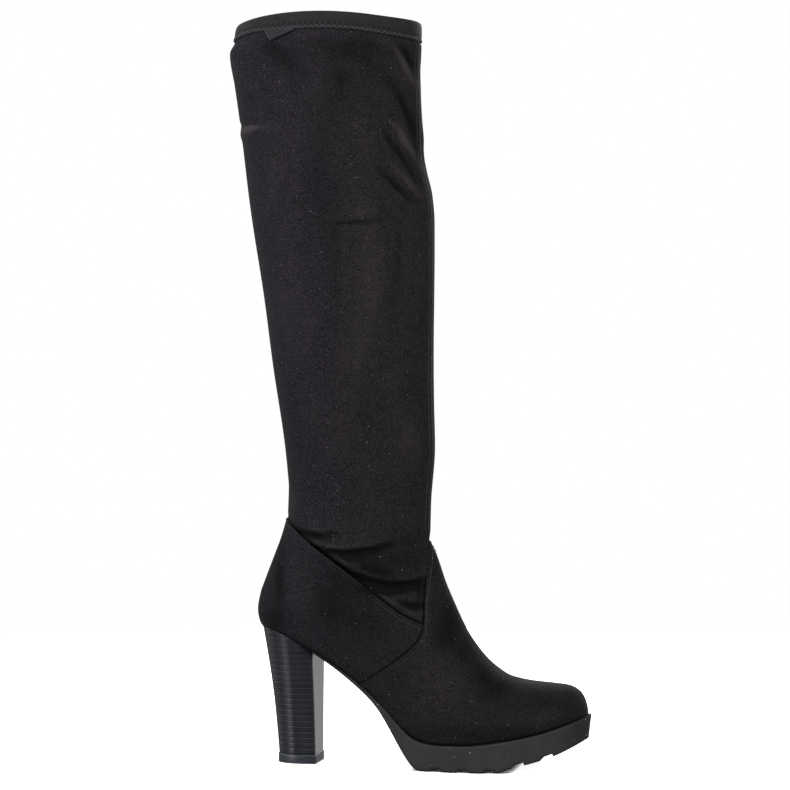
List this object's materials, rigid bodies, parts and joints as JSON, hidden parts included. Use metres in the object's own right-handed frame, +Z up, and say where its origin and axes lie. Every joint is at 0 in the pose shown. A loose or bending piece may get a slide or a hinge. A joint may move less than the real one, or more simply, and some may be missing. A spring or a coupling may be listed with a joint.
{
  "type": "suede boot",
  "caption": "Knee-high pull-on suede boot for the right foot, with a stretch shaft, elastic top band, stacked block heel and lugged platform sole.",
  "frame": {"origin": "On the floor, under the middle of the boot's whole length and width", "axes": "+X to the toe, +Y to the inner (medial) side of the right foot, +Z up the leg"},
  "size_m": [0.2537, 0.0996, 0.5215],
  "materials": {
    "suede": "matte napped microfibre suede, near black",
    "band": "matte knitted elastic binding, charcoal",
    "sole_rubber": "matte moulded rubber, charcoal",
    "heel_stack": "semi-gloss, grooved like stacked leather, near black",
    "lift_rubber": "satin hard rubber, dark blue-grey",
    "insole_sock": "matte textile sock, black"
  },
  "bodies": {
    "root": {"outsole": "sole_rubber", "heel": "heel_stack", "top_lift": "lift_rubber", "insole": "insole_sock", "upper": "suede", "shaft": "suede", "top_band": "band"}
  },
  "joints": []
}
